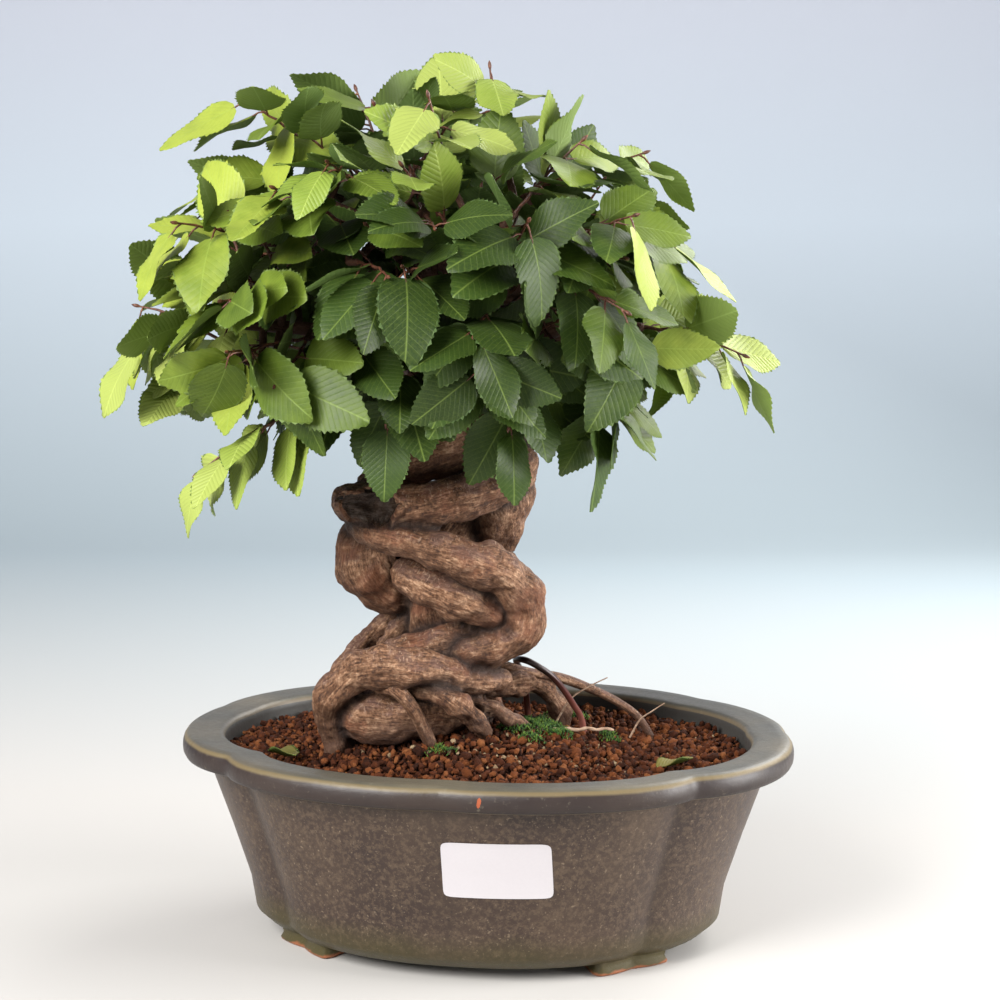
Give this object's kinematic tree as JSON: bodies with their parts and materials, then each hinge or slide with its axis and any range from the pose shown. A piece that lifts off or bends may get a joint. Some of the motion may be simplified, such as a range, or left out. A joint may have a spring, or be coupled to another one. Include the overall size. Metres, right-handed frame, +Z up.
{
  "type": "bonsai tree in a pot",
  "caption": "Korean hornbeam bonsai with an intertwined trunk, surface roots and a spreading leafy crown, planted in a glazed, lobed oval pot.",
  "frame": {"origin": "middle of the whole tree's footprint, on the surface under the pot's feet", "axes": "+Z up from the feet to the crown, X along the pot's long side, -Y towards the side with the label"},
  "size_m": [0.2438, 0.1888, 0.3122],
  "materials": {
    "pot_glaze": "satin glaze",
    "soil_granules": "rough",
    "bark": "rough bark",
    "leaf_green": "satin",
    "leaf_young": "satin",
    "wire_brown": "brown anodised",
    "label_paper": "matt",
    "dry_wood": "dry",
    "leaf_faded": "dry"
  },
  "bodies": {
    "root": {"pot": "pot_glaze", "soil": "soil_granules", "trunk": "bark", "wire": "wire_brown", "label": "label_paper", "dead_twig": "dry_wood", "fallen_leaf_left": "leaf_faded", "fallen_leaf_right": "leaf_faded", "shoot_01": "leaf_green", "shoot_02": "leaf_young", "shoot_03": "leaf_young", "shoot_04": "leaf_young", "shoot_05": "leaf_green", "shoot_06": "leaf_green", "shoot_07": "leaf_green", "shoot_08": "leaf_green", "shoot_09": "leaf_green", "shoot_10": "leaf_green", "shoot_11": "leaf_green", "shoot_12": "leaf_green", "shoot_13": "leaf_green", "shoot_14": "leaf_green", "shoot_15": "leaf_green", "shoot_16": "leaf_green", "shoot_17": "leaf_green", "shoot_18": "leaf_green", "shoot_19": "leaf_young", "shoot_20": "leaf_green", "shoot_21": "leaf_young", "shoot_22": "leaf_young", "shoot_23": "leaf_green", "shoot_24": "leaf_green", "shoot_25": "leaf_green", "shoot_26": "leaf_young", "shoot_27": "leaf_young", "shoot_28": "leaf_green", "shoot_29": "leaf_green", "shoot_30": "leaf_green", "shoot_31": "leaf_green", "shoot_32": "leaf_green", "shoot_33": "leaf_green", "shoot_34": "leaf_green", "shoot_35": "leaf_young", "shoot_36": "leaf_green", "shoot_37": "leaf_green", "shoot_38": "leaf_green", "shoot_39": "leaf_green", "shoot_40": "leaf_young", "shoot_41": "leaf_green", "shoot_42": "leaf_green"}
  },
  "joints": []
}
